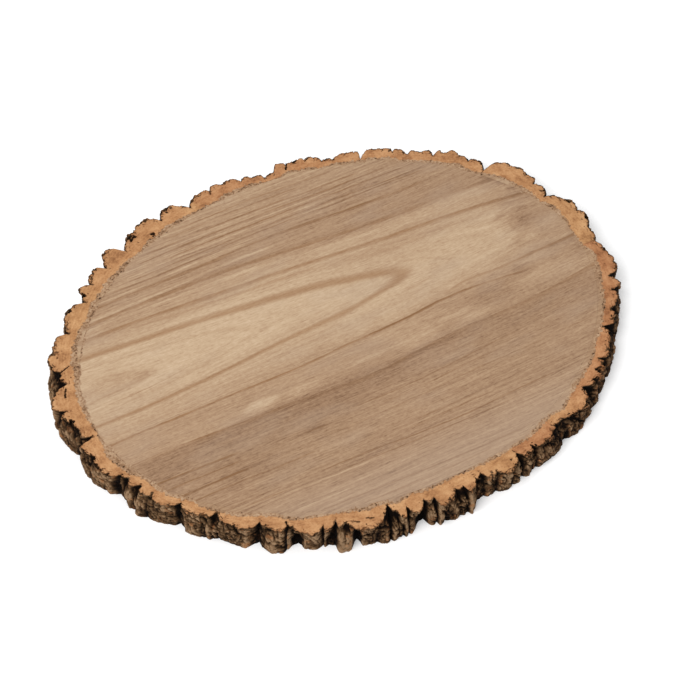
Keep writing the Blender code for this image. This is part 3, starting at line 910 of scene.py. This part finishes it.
def line_mark(recipe, x, y, line):
    """How much one grain line darkens each place."""
    course, start, end, strength, above, below = line
    away = recipe.math("SUBTRACT", y, recipe.curve(x, course, -150.0, 150.0))
    upper = recipe.spread(away, 0.0, above, 1.0, 0.0)
    lower = recipe.spread(away, -below, 0.0, 0.0, 1.0)
    mark = recipe.math("MULTIPLY", upper, lower)
    if start > -NEAR_RIM:
        mark = recipe.math("MULTIPLY", mark, recipe.spread(x, start, start + FADE_LENGTH))
    if end < NEAR_RIM:
        mark = recipe.math("MULTIPLY", mark, recipe.spread(x, end - FADE_LENGTH, end, 1.0, 0.0))
    return recipe.math("MULTIPLY", mark, strength)


def arch_rings(recipe, x, y):
    """A growth ring's number at each place: rings are nested arches that open to the left."""
    depth = recipe.curve(x, ARCH_DEPTH, -1000.0, 1000.0)
    across = recipe.math("SUBTRACT", y, recipe.curve(x, ARCH_MIDDLE, -50.0, 50.0))
    square = recipe.math("MULTIPLY_ADD", across, across, depth)
    return recipe.math("SQRT", recipe.math("MAXIMUM", recipe.math("ADD", square, 900.0), 1.0))


def arch_marks(recipe, x, y, ring):
    """How much the bands along the nested arches darken each place."""
    fineness = recipe.curve(x, ARCH_FINENESS, 0.0, 3.0)
    softer = recipe.spread(y, 15.0, 35.0, 1.0, 0.6)
    total = 0.0
    for middle, outside, inside, strength in ARCH_BANDS:
        offset = recipe.math("SUBTRACT", ring, middle)
        away = recipe.math("MULTIPLY", offset, recipe.math("MULTIPLY", fineness, softer))
        upper = recipe.spread(away, 0.0, outside, 1.0, 0.0)
        lower = recipe.spread(away, -inside, 0.0, 0.0, 1.0)
        mark = recipe.math("MULTIPLY", recipe.math("MULTIPLY", upper, lower), strength)
        total = recipe.math("ADD", total, mark)
    return total


def patch_marks(recipe, x, y, place, patches):
    """How much the stains and knots darken each place, with ragged edges."""
    ragged = recipe.noise(place, (14.0, 5.0, 9.0), detail=4.0, roughness=0.6, shift=71.0)
    ragged = recipe.math("MULTIPLY_ADD", ragged, 2.4, -1.2)
    total = 0.0
    for middle_x, middle_y, half_length, half_width, strength in patches:
        along = recipe.math("MULTIPLY_ADD", x, 1.0 / half_length, -middle_x / half_length)
        across = recipe.math("MULTIPLY_ADD", y, 1.0 / half_width, -middle_y / half_width)
        square = recipe.math("MULTIPLY_ADD", along, along, recipe.math("MULTIPLY", across, across))
        away = recipe.math("ADD", square, ragged)
        total = recipe.math("ADD", total, recipe.spread(away, -0.1, 1.4, strength, 0.0))
    return total


def wood_colour(recipe, place, grain_lines, patches):
    """The wood's colour, its lightness, and the pattern that its surface is rough in."""
    x, y = wavering(recipe, place)
    ring = arch_rings(recipe, x, y)

    # Broad zones
    on_left = recipe.curve(y, ZONES_LEFT, 0.0, 1.0)
    on_right = recipe.curve(y, ZONES_RIGHT, 0.0, 1.0)
    rightness = recipe.spread(x, *ZONES_CHANGE)
    change = recipe.math("SUBTRACT", on_right, on_left)
    zone = recipe.math("ADD", on_left, recipe.math("MULTIPLY", rightness, change))
    if patches:
        zone = recipe.math("SUBTRACT", zone, patch_marks(recipe, x, y, place, patches))

    # Named lines, uneven along their length
    bending = recipe.curve(x, FAR_COURSE, -10.0, 10.0)
    flow = recipe.vector(x, recipe.math("SUBTRACT", y, bending), 0.0)
    uneven = recipe.spread(recipe.noise(flow, (26.0, 6.0, 9.0), detail=2.0), 0.25, 0.7, 0.5, 1.2)
    named = 0.0
    for line in grain_lines:
        named = recipe.math("ADD", named, line_mark(recipe, x, y, line))
    lines = recipe.math("MULTIPLY_ADD", named, uneven, arch_marks(recipe, x, y, ring))

    # Streaks along the grain
    away = recipe.math("ABSOLUTE", recipe.math("SUBTRACT", y, 24.0))
    ringed = recipe.vector(x, ring, recipe.spread(y, 0.0, 50.0, 0.0, 30.0))
    arched = recipe.noise(ringed, (70.0, 1.9, 9.0), detail=3.0, roughness=0.6)
    straight = recipe.noise(flow, (80.0, 2.0, 9.0), detail=3.0, roughness=0.65, shift=5.0)
    far = recipe.spread(away, 24.0, 44.0)
    streaks = recipe.math("MULTIPLY_ADD", far, recipe.math("SUBTRACT", straight, arched), arched)
    strong = recipe.spread(recipe.math("ABSOLUTE", y), 60.0, 115.0, 0.50, 0.92)

    # Pores, ticks, mottling, cloudiness, and marks of the plane across the grain
    fine = recipe.noise(flow, (13.0, 0.8, 9.0), detail=2.0, roughness=0.65, shift=3.0)
    pores = recipe.spread(recipe.noise(flow, (9.0, 0.6, 9.0), detail=1.0, shift=29.0), 0.56, 0.76)
    ticks = recipe.spread(recipe.noise(flow, (4.0, 0.9, 9.0), detail=1.0, shift=83.0), 0.66, 0.78)
    mottle = recipe.noise(flow, (3.0, 1.5, 9.0), detail=3.0, roughness=0.6, shift=17.0)
    cloud = recipe.noise(place, (30.0, 13.0, 40.0), detail=3.0, shift=11.0)
    chatter = recipe.noise(place, (2.4, 24.0, 9.0), detail=1.0, shift=91.0)
    tone = recipe.math("MULTIPLY_ADD", lines, -0.26, zone)
    tone = recipe.math("ADD", tone, recipe.math("MULTIPLY", recipe.math("SUBTRACT", streaks, 0.5), strong))
    tone = recipe.math("MULTIPLY_ADD", pores, -0.21, tone)
    tone = recipe.math("MULTIPLY_ADD", ticks, -0.21, tone)
    for pattern, amount in ((fine, 0.50), (cloud, 0.16), (mottle, 0.54), (chatter, 0.10)):
        tone = recipe.math("ADD", tone, recipe.math("MULTIPLY_ADD", pattern, amount, -amount / 2))
    colour = recipe.ramp(
        tone,
        (
            (0.0, (113, 83, 60)), (0.3, (149, 118, 91)), (0.55, (168, 138, 109)), (0.85, (188, 162, 132)),
            (1.0, (196, 171, 143)),
        ),
    )
    golden = recipe.spread(lines, 0.1, 1.2, 0.0, 0.45, smooth=False)
    colour = recipe.blend(golden, colour, (146, 106, 66))
    faded = recipe.noise(place, (50.0, 18.0, 60.0), detail=2.0, shift=23.0)
    grey = recipe.spread(faded, 0.45, 0.75, 0.0, 0.22)
    low = recipe.spread(y, -135.0, -95.0, 0.35, 0.0)
    colour = recipe.blend(recipe.math("MAXIMUM", grey, low), colour, (168, 147, 128))
    return colour, tone, recipe.math("ADD", streaks, fine)


def wood_face():
    """The board's material, with filler smeared over its rim."""
    recipe = Recipe("flat_sawn_wood_face")
    place = recipe.millimetres()
    wood, tone, relief = wood_colour(recipe, place, GRAIN_LINES, PATCHES)
    colour = recipe.blend(rim_stain(recipe, place), wood, filler_colour(recipe, place, 0.0))
    recipe.feed(recipe.shader.inputs["Base Color"], colour)
    recipe.feed(recipe.shader.inputs["Roughness"], recipe.spread(tone, 0.1, 0.9, 0.74, 0.60))
    recipe.shader.inputs["Specular IOR Level"].default_value = 0.2
    recipe.bump(relief, 0.08)
    return recipe.material


def filler_colour(recipe, place, depth):
    """Much like the wood, but mottled, with dark specks, and painted shade in the pits where crumbs have
    fallen out.
    """
    crumbs = recipe.noise(place, (1.7, 1.7, 1.7), detail=3.0, roughness=0.6)
    lumps = recipe.noise(place, (11.0, 11.0, 11.0), detail=2.0, shift=5.0)
    # Dark specks in the filler
    dark_specks = recipe.spread(recipe.noise(place, (1.5, 1.5, 1.5), detail=2.0, shift=95.0), 0.58, 0.70)
    tone = recipe.math("MULTIPLY_ADD", crumbs, 1.3, -0.19)
    tone = recipe.math("ADD", tone, recipe.math("MULTIPLY_ADD", lumps, 0.7, -0.35))
    tone = recipe.math("MULTIPLY_ADD", dark_specks, -0.3, tone)
    # Painted shade: darker where depth marks pits and the ring's walls
    tone = recipe.math("MULTIPLY_ADD", depth, -0.7, tone)
    return recipe.ramp(
        tone,
        (
            (0.0, (40, 28, 20)), (0.18, (96, 70, 50)), (0.32, (134, 102, 75)), (0.5, (158, 126, 97)),
            (0.7, (178, 149, 121)),
        ),
    )


def sawn_bark(recipe, place, flow, red):
    """The orange of freshly cut bark: fuzzy, in soft patches and streaks, with small dark flecks."""
    fuzz = recipe.noise(place, (1.5, 1.5, 1.5), detail=4.0, roughness=0.65)
    patches = recipe.noise(place, (8.0, 8.0, 8.0), detail=3.0, shift=3.0)
    streaks = recipe.noise(flow, (8.0, 1.4, 9.0), detail=3.0, roughness=0.6, shift=15.0)
    tone = recipe.math("MULTIPLY_ADD", patches, 0.55, recipe.math("MULTIPLY_ADD", fuzz, 0.35, -0.075))
    tone = recipe.math("MULTIPLY_ADD", streaks, 0.25, tone)
    yellow_cut = recipe.ramp(tone, ((0.3, (136, 94, 60)), (0.47, (178, 132, 89)), (0.64, (202, 158, 112))))
    red_cut = recipe.ramp(tone, ((0.3, (122, 78, 50)), (0.47, (165, 113, 76)), (0.64, (188, 138, 98))))
    sawn = recipe.blend(red, yellow_cut, red_cut)
    flecks = recipe.spread(recipe.noise(place, (2.2, 2.2, 2.2), detail=3.0, shift=13.0), 0.64, 0.76)
    return recipe.blend(recipe.math("MULTIPLY", flecks, 0.4), sawn, (104, 68, 44))


def bark_over_filler(recipe, place, joint):
    """The fuzzy edge between the filler and the cut bark: 0 on the filler, and 1 on the bark."""
    ragged = recipe.noise(place, (2.6, 2.6, 2.6), detail=4.0, roughness=0.65, shift=61.0)
    ragged = recipe.math("MULTIPLY_ADD", ragged, 5.0, -2.6)
    return recipe.spread(recipe.math("ADD", joint, ragged), -0.5, 0.5)


def wide_filler(recipe, place):
    """How many millimetres wider the filler is on the upper left, and nought elsewhere."""
    x, y, _ = recipe.parts(place)
    upper_left = recipe.math("MULTIPLY_ADD", x, -0.0043, recipe.math("MULTIPLY", y, 0.0040))
    return recipe.spread(upper_left, 0.15, 0.8, 0.0, 1.7)


def rim_stain(recipe, place):
    """Where filler is smeared over the wood's rim, in ragged patches."""
    across = recipe.add("ShaderNodeVectorMath", operation="LENGTH")
    recipe.feed(across.inputs[0], recipe.stretched(place, (FACE_LENGTH / 2, FACE_WIDTH / 2, ANY_HEIGHT)))
    board_radius_here = FACE_MEAN_RADIUS - SEAM_WIDTH
    share_out = across.outputs["Value"]
    in_from_edge = recipe.math("MULTIPLY_ADD", share_out, -FACE_MEAN_RADIUS, board_radius_here)
    ragged = recipe.noise(place, (3.2, 3.2, 3.2), detail=3.0, shift=51.0)
    smear = recipe.math("MULTIPLY_ADD", ragged, 7.0, recipe.math("ADD", wide_filler(recipe, place), -4.3))
    return recipe.spread(recipe.math("SUBTRACT", smear, in_from_edge), -0.3, 0.9)


def filler_crumbs():
    """The ring's material: wood at its inner edge, crumbly filler, and sawn bark at its outer edge."""
    recipe = Recipe("filler_crumbs")
    place = recipe.millimetres()
    # depth is the painted shade of the ring's pits and walls
    _, depth, red = recipe.parts(recipe.attribute("looks"))
    flow = recipe.attribute("flow")
    joint = recipe.number("joint")
    rim_lines = [line for line in GRAIN_LINES if line[1] == -OVER_RIM or line[2] == OVER_RIM]
    rim_patches = [patch for patch in PATCHES if abs(patch[0]) + patch[2] > FACE_LENGTH / 2]
    wood = wood_colour(recipe, place, rim_lines, rim_patches)[0]
    reach = recipe.noise(place, (16.0, 16.0, 16.0), detail=2.0, shift=33.0)
    ragged = recipe.noise(place, (1.8, 1.8, 1.8), detail=3.0, roughness=0.65, shift=35.0)
    width = recipe.math("MULTIPLY_ADD", ragged, 4.0, recipe.math("MULTIPLY_ADD", reach, 7.0, -3.4))
    width = recipe.math("ADD", width, wide_filler(recipe, place))
    share = recipe.spread(recipe.math("ADD", joint, width), -0.5, 0.6)
    colour = recipe.blend(share, wood, filler_colour(recipe, place, depth))
    share = bark_over_filler(recipe, place, joint)
    colour = recipe.blend(share, colour, sawn_bark(recipe, place, flow, red))
    recipe.feed(recipe.shader.inputs["Base Color"], colour)
    crumbs = recipe.noise(place, (1.0, 1.0, 1.0), detail=3.0)
    recipe.feed(recipe.shader.inputs["Roughness"], recipe.spread(crumbs, 0.3, 0.7, 0.8, 0.95))
    recipe.shader.inputs["Specular IOR Level"].default_value = 0.1
    recipe.bump(crumbs, 0.2)
    return recipe.material


def weathered_bark(recipe, place, flow, depth):
    """The side's old surface: brown with tan ridges and rusty patches, and painted shade that turns the
    furrows near black.
    """
    streaks = recipe.noise(flow, (1.2, 1.2, 3.0), detail=4.0, roughness=0.7, shift=19.0)
    flakes = recipe.noise(place, (3.0, 3.0, 3.0), detail=3.0, roughness=0.6, shift=27.0, distortion=0.6)
    blotches = recipe.noise(place, (9.0, 9.0, 9.0), detail=2.0, shift=29.0)
    tone = recipe.math("MULTIPLY_ADD", streaks, 0.75, -0.24)
    tone = recipe.math("MULTIPLY_ADD", flakes, 0.6, tone)
    tone = recipe.math("ADD", tone, recipe.math("MULTIPLY_ADD", blotches, 0.9, -0.45))
    # Painted shade: the depth value darkens furrows and chips, and lightens ridges and level places
    tone = recipe.math("MULTIPLY_ADD", recipe.math("SUBTRACT", depth, 0.45), -1.0, tone)
    colour = recipe.ramp(
        tone,
        (
            (0.05, (8, 3, 1)), (0.22, (26, 15, 6)), (0.40, (54, 37, 21)), (0.56, (78, 57, 37)),
            (0.72, (101, 77, 54)), (0.92, (138, 111, 84)),
        ),
    )
    rust = recipe.noise(place, (5.0, 5.0, 4.0), detail=3.0, shift=37.0)
    rust = recipe.spread(rust, 0.56, 0.68, 0.0, 0.55)
    rusty = recipe.ramp(tone, ((0.2, (40, 22, 11)), (0.5, (104, 64, 36)), (0.8, (150, 100, 60))))
    return recipe.blend(rust, colour, rusty), streaks


def furrowed_bark():
    """The strips' material: old bark on the side, and sawn bark with filler at its edge on the cut top."""
    recipe = Recipe("furrowed_bark_cut_and_weathered")
    place = recipe.millimetres()
    flow = recipe.attribute("flow")
    # depth is the painted shade of furrows and chips
    cut, depth, red = recipe.parts(recipe.attribute("looks"))
    weathered, streaks = weathered_bark(recipe, place, flow, depth)

    filler = filler_colour(recipe, place, 0.0)
    share = bark_over_filler(recipe, place, recipe.number("joint"))
    sawn = recipe.blend(share, filler, sawn_bark(recipe, place, flow, red))

    # The cut top's edge is bitten into and scorched
    nibbles = recipe.noise(place, (1.2, 1.2, 1.2), detail=3.0, roughness=0.6, shift=41.0)
    bites = recipe.noise(place, (4.0, 4.0, 4.0), detail=2.0, shift=43.0)
    rough_cut = recipe.math("ADD", cut, recipe.math("MULTIPLY_ADD", nibbles, 1.2, -0.6))
    rough_cut = recipe.math("ADD", rough_cut, recipe.math("MULTIPLY_ADD", bites, 0.8, -0.4))
    sawn_share = recipe.spread(rough_cut, 0.34, 0.58)
    scorched = recipe.blend(recipe.spread(rough_cut, 0.45, 0.85), (120, 78, 48), sawn)
    recipe.feed(recipe.shader.inputs["Base Color"], recipe.blend(sawn_share, weathered, scorched))
    recipe.feed(recipe.shader.inputs["Roughness"], recipe.spread(sawn_share, 0.0, 1.0, 0.95, 0.82))
    recipe.shader.inputs["Specular IOR Level"].default_value = 0.08
    recipe.bump(streaks, 0.45)
    return recipe.material


# Floor, light and camera


def make_floor():
    mesh = bmesh.new()
    bmesh.ops.create_grid(mesh, x_segments=1, y_segments=1, size=FLOOR_HALF_SIZE)
    data = bpy.data.meshes.new("floor")
    mesh.to_mesh(data)
    mesh.free()
    floor = bpy.data.objects.new("floor", data)
    floor.location.z = -FLOOR_DROP
    recipe = Recipe("pale_floor")
    recipe.shader.inputs["Base Color"].default_value = (FLOOR_GREY, FLOOR_GREY, FLOOR_GREY, 1.0)
    recipe.shader.inputs["Roughness"].default_value = 0.9
    recipe.shader.inputs["Emission Color"].default_value = (1.0, 1.0, 1.0, 1.0)
    recipe.shader.inputs["Emission Strength"].default_value = FLOOR_GLOW
    data.materials.append(recipe.material)
    bpy.context.collection.objects.link(floor)


def make_light(name, place, size, power):
    data = bpy.data.lights.new(name, "AREA")
    data.size = size
    data.energy = power
    light = bpy.data.objects.new(name, data)
    light.location = place
    light.rotation_euler = (-Vector(place)).to_track_quat("-Z", "Y").to_euler()
    bpy.context.collection.objects.link(light)


def make_world():
    world = bpy.data.worlds.new("soft_studio")
    world.use_nodes = True
    background = world.node_tree.nodes["Background"]
    background.inputs["Color"].default_value = (1.0, 1.0, 1.0, 1.0)
    background.inputs["Strength"].default_value = SKY_STRENGTH
    bpy.context.scene.world = world


def make_camera():
    ahead = Vector((-math.sin(VIEW_TURN), math.cos(VIEW_TURN), 0.0)) * math.cos(VIEW_HEIGHT)
    ahead.z = -math.sin(VIEW_HEIGHT)
    data = bpy.data.cameras.new("camera")
    data.sensor_width = SENSOR
    data.lens = LENS
    camera = bpy.data.objects.new("camera", data)
    camera.location = VIEW_TARGET - ahead * VIEW_DISTANCE
    camera.rotation_euler = ahead.to_track_quat("-Z", "Y").to_euler()
    bpy.context.collection.objects.link(camera)
    bpy.context.scene.camera = camera


def dress_board():
    """The board keeps its own solid, and only gets its material."""
    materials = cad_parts["wood_board"].data.materials
    materials.clear()
    materials.append(wood_face())


bpy.context.scene.view_settings.view_transform = "Standard"
dress_board()
make_bark_strips(furrowed_bark())
make_seam(filler_crumbs())
make_floor()
make_world()
make_light("key_light", *KEY_LIGHT)
make_light("fill_light", *FILL_LIGHT)
make_camera()
